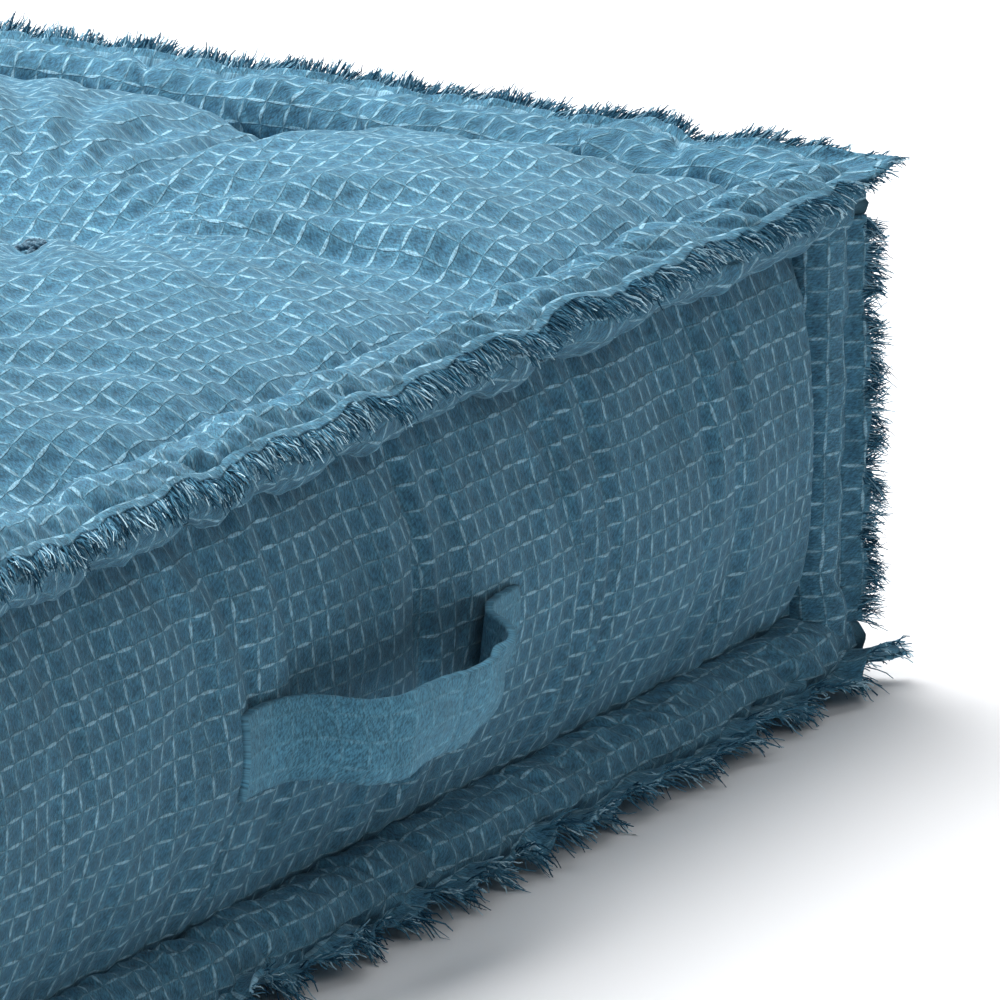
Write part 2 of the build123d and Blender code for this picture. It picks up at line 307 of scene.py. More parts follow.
def waffle_cloth(name, thread, cell, hollow_shade, strength=0.85):
    """Waffle cloth: dashes of thread in a lighter colour, a painted highlight on the raised threads, of that
    strength, round cells whose colour darkens to a painted shade in their recessed middles, with a linen
    grain.
    """
    n = Nodes(name)
    weave = n.add("ShaderNodeUVMap", uv_map="weave").outputs[0]
    wander = n.add("ShaderNodeTexNoise", {"Vector": weave, "Scale": 0.06, "Detail": 2.0}).outputs["Color"]
    wander = n.vector("SUBTRACT", wander, (0.5, 0.5, 0.5))
    cells = n.scale(n.vector("ADD", weave, n.scale(wander, 0.8)), 1 / CELL)
    split = n.add("ShaderNodeSeparateXYZ", {0: cells})
    u, v = split.outputs[0], split.outputs[1]

    def beside(x):
        """1 on the cell's border and 0 in its middle."""
        return n.math("MULTIPLY", n.math("ABSOLUTE", n.math("SUBTRACT", n.math("FRACT", x), 0.5)), 2.0)

    a, b = beside(u), beside(v)

    def dashes(near, along, x, y):
        """A thread on each border of the cells, thickest halfway between two crossings. Returns its mask,
        and where the thread gets its painted highlight, at a random strength for each dash.
        """
        number = {0: n.math("FLOOR", n.math("ADD", x, 0.5)), 1: n.math("FLOOR", y)}
        where = n.add("ShaderNodeCombineXYZ", number).outputs[0]
        chance = n.add("ShaderNodeTexWhiteNoise", {0: where}, noise_dimensions="3D").outputs[0]
        thick = n.math("MULTIPLY", n.ramp(along, 1.0, 0.3, 0.04, 0.16), n.ramp(chance, 0.0, 1.0, 0.7, 1.15))
        edge = n.math("SUBTRACT", 1.0, thick)
        mask = n.add("ShaderNodeMapRange", {0: near, 1: edge, 2: n.math("ADD", edge, 0.07)},
                     interpolation_type="SMOOTHSTEP").outputs[0]
        return mask, n.math("MULTIPLY", mask, n.ramp(chance, 0.0, 1.0, 0.45, 1.0))

    mask_u, painted_highlight_u = dashes(a, b, u, v)
    mask_v, painted_highlight_v = dashes(b, a, v, u)
    ridge = n.math("MAXIMUM", mask_u, mask_v)
    # Painted highlight: where the raised threads are drawn in the lighter thread colour.
    light = n.math("MAXIMUM", painted_highlight_u, painted_highlight_v)
    inner = n.math("MULTIPLY", n.math("SUBTRACT", 1.0, a), n.math("SUBTRACT", 1.0, b))
    stretched = n.vector("MULTIPLY", weave, (1.9, 0.55, 1.0))
    turned = n.add("ShaderNodeVectorRotate", {0: weave, 3: 0.7}, rotation_type="Z_AXIS").outputs[0]
    turned = n.vector("MULTIPLY", turned, (2.1, 0.5, 1.0))
    grain = n.math("ADD", n.math("MULTIPLY", n.noise(stretched, 1.0, 3.0, 0.7), 0.5),
                   n.math("MULTIPLY", n.noise(turned, 1.0, 3.0, 0.7), 0.5))
    mottle = n.math("ADD", n.math("MULTIPLY", n.noise(weave, 0.09, 3.0), 0.6),
                    n.math("MULTIPLY", n.noise(weave, 0.018, 2.0), 0.4))
    # Painted shade: each recessed cell is coloured darker from its rim towards its middle.
    shade = n.mix(n.ramp(inner, 0.05, 0.6), cell, hollow_shade)
    # Painted highlight on the raised threads: the thread colour is lighter than the cells.
    shade = n.mix(n.math("MULTIPLY", light, strength), shade, thread)
    fine = n.ramp(grain, 0.37, 0.63, 0.52, 1.48)
    tone = n.math("MULTIPLY", fine, n.ramp(mottle, 0.3, 0.7, 0.86, 1.14))
    toned = n.scale(shade, tone)
    height = n.math("ADD", n.math("MULTIPLY", ridge, 0.45 * strength), grain)
    height = n.math("ADD", height, n.math("MULTIPLY", n.math("MAXIMUM", a, b), 0.7 * strength))
    bump = n.add("ShaderNodeBump", {"Height": height, "Strength": 0.9, "Distance": 0.0009})
    n.set(Base_Color=toned, Normal=bump.outputs[0], Roughness=n.ramp(grain, 0.2, 0.8, 0.78, 0.95),
          Sheen_Weight=0.2, Sheen_Roughness=0.55, Sheen_Tint=colour(190, 228, 246),
          Specular_IOR_Level=0.25)
    return n.material


def strand_material(name, dark, middle, light, share):
    """Loose threads, with a painted highlight: a share of them, picked by chance, turn towards the light
    colour, most towards their tips. Their strand map holds a chance value for each thread and the way along
    it.
    """
    n = Nodes(name)
    strand = n.add("ShaderNodeUVMap", uv_map="strand").outputs[0]
    split = n.add("ShaderNodeSeparateXYZ", {0: strand})
    chance, along = split.outputs[0], split.outputs[1]
    shade = n.mix(n.ramp(chance, 0.0, 0.7), dark, middle)
    # Painted highlight: glints of the light colour on a random share of the threads, stronger towards their
    # tips.
    painted_glint = n.math("MULTIPLY", n.ramp(chance, 1.0 - share, 1.0), n.ramp(along, 0.15, 0.8, 0.45, 1.0))
    shade = n.mix(painted_glint, shade, light)
    fibre = n.noise(n.vector("MULTIPLY", strand, (900.0, 14.0, 1.0)), 1.0, 2.0)
    toned = n.scale(shade, n.ramp(fibre, 0.2, 0.8, 0.75, 1.25))
    n.set(Base_Color=toned, Roughness=n.ramp(fibre, 0.0, 1.0, 0.6, 0.85), Specular_IOR_Level=0.12)
    return n.material


def fibre_material(name, light, dark, scale):
    """Matted fibre, for the filling and the twine."""
    n = Nodes(name)
    where = n.add("ShaderNodeTexCoord").outputs["Object"]
    matted = n.noise(n.vector("MULTIPLY", where, (scale, scale * 3, scale)), 1.0, 5.0, 0.7)
    bump = n.add("ShaderNodeBump", {"Height": matted, "Strength": 0.6, "Distance": 0.002})
    n.set(Base_Color=n.mix(n.ramp(matted, 0.3, 0.7), dark, light), Normal=bump.outputs[0],
          Roughness=n.ramp(matted, 0.0, 1.0, 0.85, 1.0), Sheen_Weight=0.2)
    return n.material


# Painted light in these colours: each cloth's first colour is a painted highlight on its raised threads, and
# its last is a painted shade in its cell middles. The loose threads' last colour is a painted glint.
cover = waffle_cloth("waffle_cloth", colour(140, 182, 202), colour(68, 117, 140), colour(54, 101, 126))
threads = strand_material("loose_threads", colour(30, 70, 94), colour(76, 130, 156),
                          colour(196, 230, 244), 0.34)
strap_cloth = waffle_cloth("strap_cloth", colour(124, 172, 195), colour(76, 130, 154),
                           colour(72, 125, 150), 0.3)
filling = fibre_material("filling_fibre", colour(240, 236, 224), colour(205, 198, 184), 120.0)
yarn = fibre_material("tuft_yarn", colour(96, 140, 162), colour(40, 76, 100), 700.0)


# ---------------------------------------------------------------- shape of the edges

def edge_bow(t):
    """How far an edge stands out at t, from -1 to 1 along it."""
    return BOW * (1 - t * t)


def edge_lift(t, level):
    """How far the middle of an edge stands higher than its ends."""
    return (3.0 if level == "top" else 0.0) * (1 - t * t)


def roll_centre(level, t, seed, lumps=1.0):
    """Distance out and height of a level roll's centre line at t."""
    along = t * REACH
    out = REACH + edge_bow(t) + 0.8 * waves(seed + 4, 60, along) * lumps
    if level == "bottom":
        return out, BOTTOM_Z + 0 * t
    return out, TOP_Z + edge_lift(t, level) + 0.7 * waves(seed + 5, 55, along) * lumps


def roll_grid(length, radius, step, first):
    """Grids of the way along a roll, from first to 1, and of the angle round it."""
    count = int(round(length / step))
    around = int(round(2 * PI * radius / step / 4)) * 4
    way = np.linspace(first, 1, count + 1)[:, None]
    angle = np.linspace(0, 2 * PI, around + 1)[None, :]
    return np.broadcast_arrays(way, angle)


def roll_weave(along, angle, radius):
    """Weave coordinates of a roll, with a whole number of cells round it."""
    cells_round = round(2 * PI * radius / CELL)
    return np.stack([along, angle / (2 * PI) * cells_round * CELL], -1)


def roll_surface(side, level, t, angle, radius, seed, lumps=1.0):
    """Points of one level roll. t runs from mitre to mitre, and angle from outward, upwards, round it."""
    along = t * REACH
    twist = along + 9.0 * angle + 7.0 * waves(seed, 90, along)
    gap = 38.0
    pinch = (1 - np.abs(np.sin(PI * twist / gap))) ** 3
    size = radius * (1 - 0.15 * lumps * pinch * (1 + 0.5 * waves(seed + 1, 60, along)))
    folds = np.sin(2 * PI * (along + 14.0 * angle) / 11 + 2 * waves(seed + 6, 40, along))
    size = size + 0.5 * lumps * folds * smooth(np.sin(angle), 0.3, 0.9)
    size = size + lumps * (0.45 * waves(seed + 2, 16, along + 8 * angle, 8 * angle)
                           + 0.22 * waves(seed + 3, 7, along + 14 * angle, 5 * angle))
    centre_out, centre_z = roll_centre(level, t, seed, lumps)
    out = centre_out + size * np.cos(angle)
    z = centre_z + size * np.sin(angle)
    if level == "bottom":
        z = np.maximum(z, 0.25 + 0.1 * np.abs(np.cos(angle)))
    return place(side, t * out, out, z)


def level_roll(side, level, radius, step, material, name, seed, lumps=1.0, relief=1.0):
    """One level roll as a closed tube from mitre to mitre."""
    t, angle = roll_grid(2 * REACH, radius, step, -1)
    points = roll_surface(side, level, t, angle, radius, seed, lumps)[:, :-1]
    weave = roll_weave(t * REACH, angle, radius)
    points = points + normals(points, closed=True) * (relief * waffle(weave[:, :-1]))[..., None]
    return grid_mesh(name, points, weave, material, closed=True)


def corner_surface(corner, f, angle, radius, seed, lumps=1.0):
    """Points of one upright roll. f runs from its foot to its head, and angle from straight outward."""
    sx, sy = CORNERS[corner]
    z = BOTTOM_Z + 4 + f * (TOP_Z - BOTTOM_Z - 6)
    turned = angle + 0.5 * np.sin(2 * PI * f * 1.2 + seed)
    pinch = (1 - np.abs(np.sin(PI * (z + 7 * turned) / 36))) ** 3
    size = radius * (1 - 0.1 * lumps * pinch) + 0.4 * lumps * waves(seed, 18, z, 8 * angle)
    lean = 0.5 * waves(seed + 1, 90, z)
    heading = math.atan2(sy, sx) + angle
    x = sx * (REACH - 0.5) + size * np.cos(heading) + lean
    y = sy * (REACH - 0.5) + size * np.sin(heading) - lean
    return np.stack([x, y, z + 0 * angle], -1)


def corner_roll(corner, radius, step, material, name, seed, lumps=1.0, relief=1.0):
    """One upright roll as a tube between the level rolls."""
    f, angle = roll_grid(TOP_Z - BOTTOM_Z, radius, step, 0)
    points = corner_surface(corner, f, angle, radius, seed, lumps)[:, :-1]
    weave = roll_weave(f * (TOP_Z - BOTTOM_Z), angle, radius)
    points = points + normals(points, closed=True) * -(relief * waffle(weave[:, :-1]))[..., None]
    return grid_mesh(name, points, weave, material, closed=True, flip=True)


# ---------------------------------------------------------------- tufted top

def level_grid():
    """For a level panel: two shares across it, x, y, the distance in from its seam, and its weave."""
    line = np.linspace(-1, 1, 2 * CELLS + 1)
    a, b = np.meshgrid(line, line, indexing="ij")
    x, y = a * (SEAM + edge_bow(b)), b * (SEAM + edge_bow(a))
    edge = SEAM - np.maximum(np.abs(a), np.abs(b)) * SEAM
    return a, b, x, y, edge, np.stack([a, b], -1) * CELLS * CELL / 2


def top_panel():
    """The top: lobes between four tufts, pleats that fan out from each tuft, and gathers at the seams."""
    a, b, x, y, edge, weave = level_grid()
    seam_z = TOP_Z + 1.0
    rise = CREST_Z - seam_z - 7.5
    z = seam_z + rise * (1 - np.exp(-edge / 58))
    z += edge_lift(np.minimum(np.abs(a), np.abs(b)), "top") * smooth(edge, 60, 0)
    z -= 3.5 * np.exp(-((edge - 8) / 7) ** 2)
    pleats = np.zeros_like(z)
    held = edge < 4.5
    for number, (sx, sy) in enumerate(CORNERS.values()):
        dx, dy = x - sx * TUFT, y - sy * TUFT
        r = np.hypot(dx, dy)
        bearing = np.arctan2(dy, dx)
        for along, away in ((dx * sx, dy), (dy * sy, dx)):
            valley = np.exp(-((away + 3 * waves(number + 60, 60, along)) / 26) ** 2)
            z -= 10.0 * valley * smooth(along, -10, 30) * smooth(r, 0, 60)
            between = np.exp(-(away / 30) ** 2)
            z -= 7.5 * between * smooth(-along, -10, 30) * smooth(-along, 2 * TUFT + 10, TUFT)
        z -= (z - TUFT_Z) * np.exp(-((r / 40) ** 2))
        fan = np.sin(26 * bearing + 2.0 * waves(number + 20, 2.2, bearing) + number)
        fan += 0.3 * waves(number + 30, 30, dx + 0.3 * dy, dy)
        pleats += 1.4 * fan * smooth(r, 8, 55) * smooth(r, 190, 110)
        held |= r < 9
    gathers = 0
    for along, across, seed in ((x, SEAM - np.abs(y), 41), (y, SEAM - np.abs(x), 47)):
        puckers = np.sin(2 * PI * (along + 5 * waves(seed, 80, along)) / 24)
        gathers = gathers + 1.5 * puckers * np.exp(-across / 28) * smooth(across, 0, 9)
    z += pleats * smooth(edge, 0, 30) + gathers + 0.6 * waves(52, 80, x, y) * smooth(edge, 0, 30)
    points = np.stack([x, y, z], -1)
    points = simulate(points, held, 2.0)
    points, weave = finer(points), finer(weave)
    points = points + normals(points) * waffle(weave)[..., None]
    obj = grid_mesh("top_cover", points, weave, cover)
    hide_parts("top_panel")


def side_panel(side, seed):
    """One side: a bulging panel gathered along its seams. Returns its grid of points."""
    cells_along, cells_up = CELLS, 17
    a, b = np.meshgrid(np.linspace(-1, 1, 2 * cells_along + 1), np.linspace(-1, 1, 2 * cells_up + 1),
                       indexing="ij")
    half = REACH - CORNER_ROLL * 0.3
    rise = (TOP_Z - BOTTOM_Z) / 2 - 9
    s = a * half
    z = MIDDLE_Z + b * rise + edge_lift(a, "top") * (b + 1) / 2
    rim = REACH - 2.5
    fullness = (1 - np.abs(b) ** 2.1) * (1 - np.abs(a) ** 14) ** 0.8
    out = rim + edge_bow(a) * 0.4 + (FACE - rim - 1.5) * fullness
    along = s + 6 * waves(seed, 120, s) + 5 * waves(seed + 1, 90, s, z)
    strength = 0.5 + 0.5 * np.abs(b) + 0.3 * waves(seed + 2, 130, s)
    ripple = np.sin(2 * PI * along / 31) + 0.5 * np.sin(2 * PI * along / 17 + 1.3)
    out += 1.25 * ripple * strength * smooth(1 - np.abs(b), 0, 0.3) * smooth(1 - np.abs(a), 0, 0.06)
    out += 0.8 * waves(seed + 3, 60, s, z) * smooth(1 - np.abs(b), 0, 0.4) * smooth(1 - np.abs(a), 0, 0.1)
    points = place(side, s, out, z)
    held = (np.abs(a) > 0.995) | (np.abs(b) > 0.97)
    points = simulate(points, held, 3.0)
    weave = np.stack([a * cells_along, b * cells_up], -1) * CELL / 2
    points, weave = finer(points), finer(weave)
    points = points + normals(points) * waffle(weave)[..., None]
    obj = grid_mesh(f"{side}_cover", points, weave, cover)
    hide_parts(f"{side}_panel")
    return points


def bottom_panel():
    """The underside: flat on the floor, drawn up at each tuft."""
    _, _, x, y, edge, weave = level_grid()
    z = 0.9 + 0.5 * waves(71, 40, x, y) * smooth(edge, 0, 40) ** 2
    for number, (sx, sy) in enumerate(CORNERS.values()):
        dx, dy = x - sx * TUFT, y - sy * TUFT
        r, bearing = np.hypot(dx, dy), np.arctan2(dy, dx)
        z += (BOTTOM_TUFT_Z - 0.5) * np.exp(-((r / 17) ** 2))
        z += 0.9 * (1 + np.sin(15 * bearing + number)) * smooth(r, 6, 20) * smooth(r, 75, 25)
    points = np.stack([x, y, np.maximum(z, 0.5)], -1)
    obj = grid_mesh("bottom_cover", points, weave, cover, flip=True)
    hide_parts("bottom_panel")


# ---------------------------------------------------------------- frayed edges

def strands(name, roots, heading, fall, lengths, radius, rng):
    """Loose threads from the roots: each leaves along heading, bends along fall, and curls a little."""
    count, steps, ring = len(roots), 5, 3
    t = np.linspace(0, 1, steps)[None, :, None]
    lengths = lengths[:, None, None]
    curl = rng.normal(size=(count, 1, 3)) * 0.1
    wobble = rng.normal(size=(count, 1, 3)) * 0.05
    path = roots[:, None] + lengths * (t * heading[:, None] + t * t * fall[:, None]
                                       + t * t * curl + np.sin(t * 2 * PI) * wobble)
    way = np.gradient(path, axis=1)
    way /= np.linalg.norm(way, axis=2, keepdims=True)
    side = np.cross(way, [0.31, 0.52, 0.8])
    side /= np.linalg.norm(side, axis=2, keepdims=True)
    other = np.cross(way, side)
    turns = np.arange(ring) * 2 * PI / ring
    thick = radius * rng.uniform(0.7, 1.25, (count, 1, 1, 1)) * (1 - 0.45 * t[..., None] ** 2)
    around = (side[:, :, None] * np.cos(turns)[None, None, :, None]
              + other[:, :, None] * np.sin(turns)[None, None, :, None])
    points = (path[:, :, None] + around * thick).reshape(-1, 3)
    points[:, 2] = np.maximum(points[:, 2], 0.3)
    k, i, j = np.meshgrid(np.arange(count), np.arange(steps - 1), np.arange(ring), indexing="ij")
    corner = [(i, j), (i, (j + 1) % ring), (i + 1, (j + 1) % ring), (i + 1, j)]
    faces = np.stack([k * steps * ring + p * ring + q for p, q in corner], -1).reshape(-1, 4)
    chance = rng.uniform(size=count)
    maps = np.stack([np.stack([chance[k], p / (steps - 1)], -1) for p, q in corner], -2)
    return make_mesh(name, points, faces, {"strand": maps.reshape(-1, 2)}, threads)


def strip(name, middle, weave, thickness, body="cushion", material=cover):
    """A strip of cloth of that thickness about an (n, m, 3) grid, closed all round."""
    normal = normals(middle)
    upper, lower = middle + normal * thickness / 2, middle - normal * thickness / 2
    points = np.concatenate([upper, lower[:, ::-1]], axis=1)
    weave = np.concatenate([weave, weave[:, ::-1]], axis=1)
    weave = np.concatenate([weave, weave[:, :1]], axis=1)
    points = points + normals(points, closed=True) * waffle(weave[:, :-1], 0.15)[..., None]
    return grid_mesh(name, points, weave, material, closed=True, body=body)


# How each top edge's fringe falls: 1 hangs over the roll, and 0 stands up
FALLS = {"front": 1.0, "right": 0.12, "back": 0.45, "left": 0.75}
EDGE_STEPS = int(2 * REACH / 2)   # steps of 2 mm along a level strip
EDGE_BANDS = 5                    # bands across it, after the one that is sunk in the roll
CORNER_STEPS = 55                 # steps up a corner strip


def level_strip(side, level, seed, roll_seed):
    """Grids of points and weave of the strip of cloth along one level roll."""
    t = np.linspace(-1, 1, EDGE_STEPS + 1)[:, None]
    f = np.array([0, 0, 0.2, 0.4, 0.6, 0.8, 1])[None, :]
    t, f = np.broadcast_arrays(t, f)
    sunk = np.zeros_like(f)
    sunk[:, 0] = 6.0
    along = t * REACH
    corner = smooth(np.abs(t), 0.93, 1.0)
    centre_out, centre_z = roll_centre(level, t, roll_seed)
    if level == "top":
        fall = FALLS[side]
        start = math.radians(36 + 32 * (1 - fall)) + 0.05 * waves(seed, 40, along)
        start = start * (1 - corner) + math.radians(45) * corner
        width = 2.6 + 0.3 * waves(seed + 1, 33, along) + 8 * corner
        slope = math.radians(58 * (1 - fall) - 25 * fall) + 0.08 * waves(seed + 2, 26, along)
        slope = slope * (1 - corner) + math.radians(14) * corner
    else:
        start = math.radians(-20) + 0.15 * waves(seed, 40, along)
        width = 6.5 + 1.3 * waves(seed + 1, 30, along) + 3 * corner
        slope = math.radians(-24) + 0.3 * waves(seed + 2, 24, along) + math.radians(22) * f
    root = ROLL - 0.2 - sunk
    out = centre_out + root * np.cos(start) + width * f * np.cos(slope)
    z = centre_z + root * np.sin(start) + width * f * np.sin(slope)
    z = np.maximum(z + 0.4 * waves(seed + 3, 14, along) * f, 1.4)
    return place(side, t * out, out, z), np.stack([along, width * f], -1)


def level_fringe(side, level, seed, cloth):
    """The loose threads that leave the outer part of one level roll's strip."""
    rng = np.random.default_rng(seed)
    number = 5200 if level == "top" else 3000
    where = np.sort(rng.uniform(-1, 1, number))
    pick = (where + 1) / 2 * EDGE_STEPS
    low = np.clip(pick.astype(int), 0, EDGE_STEPS - 1)
    part = (pick - low)[:, None]
    column = rng.uniform(0.35, 1.0, number) * EDGE_BANDS
    c0 = np.clip(column.astype(int), 0, EDGE_BANDS - 1)
    g = (column - c0)[:, None]
    near = cloth[low] * (1 - part[:, None]) + cloth[low + 1] * part[:, None]
    rows = np.arange(number)
    roots = near[rows, c0 + 1] * (1 - g) + near[rows, c0 + 2] * g
    ahead = near[:, -1] - near[:, -2]
    ahead /= np.linalg.norm(ahead, axis=1, keepdims=True)
    edge_way = place(side, np.ones(1), np.zeros(1), np.zeros(1))[0]
    clump = waves(seed + 5, 9, where * REACH)
    lean = 0.12 * waves(seed + 6, 30, where * REACH) + rng.normal(size=number) * 0.09
    roots = roots + rng.normal(size=(number, 3)) * 0.25
    up = np.array([0, 0, 1.0])
    if level == "top":
        fall = FALLS[side]
        near_corner = smooth(np.abs(where), 0.93, 1.0)
        lengths = (4.6 + 1.7 * fall) * rng.uniform(0.75, 1.12, number) * (1 + 0.06 * clump)
        lengths = lengths * (1 - 0.4 * near_corner)
        heading = ahead + lean[:, None] * edge_way + 0.12 * rng.normal(size=(number, 1)) * up
        bent = -(0.1 + 0.22 * fall + 0.1 * rng.normal(size=(number, 1))) * up
    else:
        heading = ahead * 0.9 + lean[:, None] * 1.6 * edge_way + 0.25 * rng.normal(size=(number, 1)) * up
        lengths = 6.5 * rng.uniform(0.35, 1.15, number) * np.clip(1 + 0.35 * clump, 0.4, 1.5)
        lengths = lengths * (1 - 0.45 * smooth(np.abs(where), 0.94, 1.0))
        bent = -0.35 * np.ones((number, 1)) * up + 0.1 * rng.normal(size=(number, 3))
    return strands(f"{level}_{side}_fringe", roots, heading, bent, lengths, 0.27, rng)


def level_edge(side, level, seed, roll_seed):
    """The frayed edge along one level roll: a strip of cloth and the loose threads beyond it."""
    cloth, weave = level_strip(side, level, seed, roll_seed)
    edge = strip(f"{level}_{side}_frayed_cloth", cloth, weave, 1.5)
    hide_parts(f"{level}_{side}_frayed_edge")
    fringe = level_fringe(side, level, seed, cloth)


def corner_edge(corner, seed):
    """The frayed edge that stands straight out of one upright roll."""
    rng = np.random.default_rng(seed)
    sx, sy = CORNERS[corner]
    diagonal = np.array([sx, sy, 0]) / math.sqrt(2)
    sideways = np.array([-sy, sx, 0]) / math.sqrt(2)
    low, high = BOTTOM_Z + 7, TOP_Z - 5
    up = np.array([0, 0, 1])
    f, g = np.broadcast_arrays(np.linspace(0, 1, CORNER_STEPS + 1)[:, None], np.linspace(0, 1, 6)[None, :])
    z = low + f * (high - low)
    width = 8.5 + 0.8 * waves(seed, 30, z)
    sway = (1.4 * waves(seed + 1, 45, z) + 0.5 * waves(seed + 2, 16, z)) * g
    out = math.sqrt(2) * (REACH - 0.5) + CORNER_ROLL - 1.5 + width * g
    cloth = diagonal * out[..., None] + sideways * sway[..., None] + up * z[..., None]
    edge = strip(f"{corner}_frayed_cloth", cloth, np.stack([z, width * g], -1), 1.5)
    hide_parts(f"{corner}_frayed_edge")
    number = 1300
    where = rng.uniform(0, 1, number)
    pick = where * CORNER_STEPS
    row = np.clip(pick.astype(int), 0, CORNER_STEPS - 1)
    part = (pick - row)[:, None]
    roots = cloth[row, 4] * (1 - part) + cloth[row + 1, 4] * part
    roots = roots + sideways * rng.normal(size=(number, 1)) * 0.4
    lean = 0.25 * waves(seed + 3, 12, where * (high - low)) + 0.2 * rng.normal(size=number)
    heading = diagonal + lean[:, None] * up + sideways * rng.normal(size=(number, 1)) * 0.2
    bent = -up * (0.18 + 0.2 * rng.normal(size=(number, 1)))
    lengths = rng.uniform(4.0, 8.0, number)
    fringe = strands(f"{corner}_fringe", roots, heading, bent, lengths, 0.2, rng)


# ---------------------------------------------------------------- tufts and filling

def yarn_rope(paths, radius, plies, pitch):
    """Twisted yarn round each path: rings of points and their quads."""
    all_points, all_faces, offset = [], [], 0
    ring = 6
    for path in paths:
        way = np.gradient(path, axis=0)
        way /= np.linalg.norm(way, axis=1, keepdims=True)
        side = np.cross(way, [0.2, 0.9, 0.3])
        side /= np.linalg.norm(side, axis=1, keepdims=True)
        other = np.cross(way, side)
        run = np.concatenate([[0], np.cumsum(np.linalg.norm(np.diff(path, axis=0), axis=1))])
        angles = np.arange(ring) * 2 * PI / ring
        circle = (side[:, None] * np.cos(angles)[None, :, None]
                  + other[:, None] * np.sin(angles)[None, :, None])
        for ply in range(plies):
            turn = 2 * PI * (run / pitch + ply / plies)
            centre = path + 0.5 * radius * (side * np.cos(turn)[:, None] + other * np.sin(turn)[:, None])
            ring_points = centre[:, None] + 0.55 * radius * circle
            i, j = np.meshgrid(np.arange(len(path) - 1), np.arange(ring), indexing="ij")
            quad = [i * ring + j, i * ring + (j + 1) % ring, (i + 1) * ring + (j + 1) % ring,
                    (i + 1) * ring + j]
            all_faces.append(np.stack(quad, -1).reshape(-1, 4) + offset)
            all_points.append(ring_points.reshape(-1, 3))
            offset += len(path) * ring
    return np.concatenate(all_points), np.concatenate(all_faces)


def tufts(level):
    """The knots of one level: yarn crossed over each tuft and tied off."""
    base = TUFT_Z + 1.2 if level == "top" else BOTTOM_TUFT_Z - 2.2
    sign = 1 if level == "top" else -1
    paths = []
    t = np.linspace(-1, 1, 25)
    for sx in (-1, 1):
        for sy in (-1, 1):
            for turn in (0.3, 0.3 + PI / 2, 0.3 + PI / 4):
                x = sx * TUFT + 6.3 * t * math.cos(turn)
                y = sy * TUFT + 6.3 * t * math.sin(turn)
                paths.append(np.stack([x, y, base + sign * (1.8 * (1 - t * t) + 0.3)], -1))
            loop = (t + 1) * PI
            paths.append(np.stack([sx * TUFT + 2.4 * np.cos(loop), sy * TUFT + 2.4 * np.sin(loop),
                                   base + sign * 2.6 + 0 * loop], -1))
    points, faces = yarn_rope(paths, 1.1, 3, 5.0)
    obj = make_mesh(f"{level}_tuft_yarn", points, faces, {}, yarn)
    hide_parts(f"{level}_tuft_knots")


def twine():
    """The tufting twine, run down through the filling."""
    z = np.linspace(BOTTOM_TUFT_Z, TUFT_Z, 110)
    paths = [np.stack([sx * TUFT + 0 * z, sy * TUFT + 0 * z, z], -1) for sx in (-1, 1) for sy in (-1, 1)]
    points, faces = yarn_rope(paths, 1.4, 3, 7.0)
    obj = make_mesh("twine", points, faces, {}, yarn)
    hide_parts("tufting_twine")


def filling_block():
    """The block of fibre inside, clear of the cover all round."""
    n = 49
    line = np.linspace(-1, 1, n)
    half = REACH - ROLL - 4
    a, b = np.meshgrid(line, line, indexing="ij")
    edge = half * (1 - np.maximum(np.abs(a), np.abs(b)))
    sheets = []
    for up in (True, False):
        x, y = a * half, b * half
        r = np.min([np.hypot(x - sx * TUFT, y - sy * TUFT) for sx in (-1, 1) for sy in (-1, 1)], axis=0)
        if up:
            z = TOP_Z - 12 + 14 * (1 - np.exp(-edge / 30)) - 12 * np.exp(-((r / 45) ** 2))
        else:
            z = 4 + 9 * np.exp(-((r / 30) ** 2))
        z = z + 0.5 * waves(81, 18, x, y)
        sheets.append(np.stack([x, y, z], -1))
    top, bottom = sheets
    belly = (FACE - 8 - half) / half
    rows = [(f, 1 + belly * np.sin(PI * f) ** 0.6) for f in np.linspace(0, 1, 15)[1:-1]]
    points = [*top.reshape(-1, 3), *bottom.reshape(-1, 3)]
    rim = [(i, 0) for i in range(n - 1)] + [(n - 1, j) for j in range(n - 1)]
    rim += [(i, n - 1) for i in range(n - 1, 0, -1)] + [(0, j) for j in range(n - 1, 0, -1)]
    rings = [[i * n + j for i, j in rim]]
    for f, swell in rows:
        ring = []
        for i, j in rim:
            p = top[i, j] * (1 - f) + bottom[i, j] * f
            part = 1 + (swell - 1) * (1 - (min(abs(p[0]), abs(p[1])) / half) ** 4)
            ring.append(len(points))
            points.append(np.array([p[0] * part, p[1] * part, p[2]]))
        rings.append(ring)
    rings.append([n * n + i * n + j for i, j in rim])
    faces = []
    for i in range(n - 1):
        for j in range(n - 1):
            k = i * n + j
            faces.append([k, k + n, k + n + 1, k + 1])
            k += n * n
            faces.append([k, k + 1, k + n + 1, k + n])
    for one, two in zip(rings, rings[1:]):
        for k in range(len(rim)):
            after = (k + 1) % len(rim)
            faces.append([one[k], two[k], two[after], one[after]])
    obj = make_mesh("fibre_filling", np.array(points), np.array(faces), {}, filling)
    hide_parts("filling_core")


# ---------------------------------------------------------------- handle

def face_out(front, x, z):
    """How far the front cover stands out at x and z, from its grid of points, smoothed."""
    i = np.searchsorted(front[:, front.shape[1] // 2, 0], x.ravel()).clip(3, len(front) - 4)
    rows = front[len(front) // 2, :, 2]
    j = np.searchsorted(rows, z.ravel()).clip(3, len(rows) - 4)
    out = np.mean([-front[i + p, j + q, 1] for p in (-3, 0, 3) for q in (-3, 0, 3)], axis=0)
    return out.reshape(x.shape)


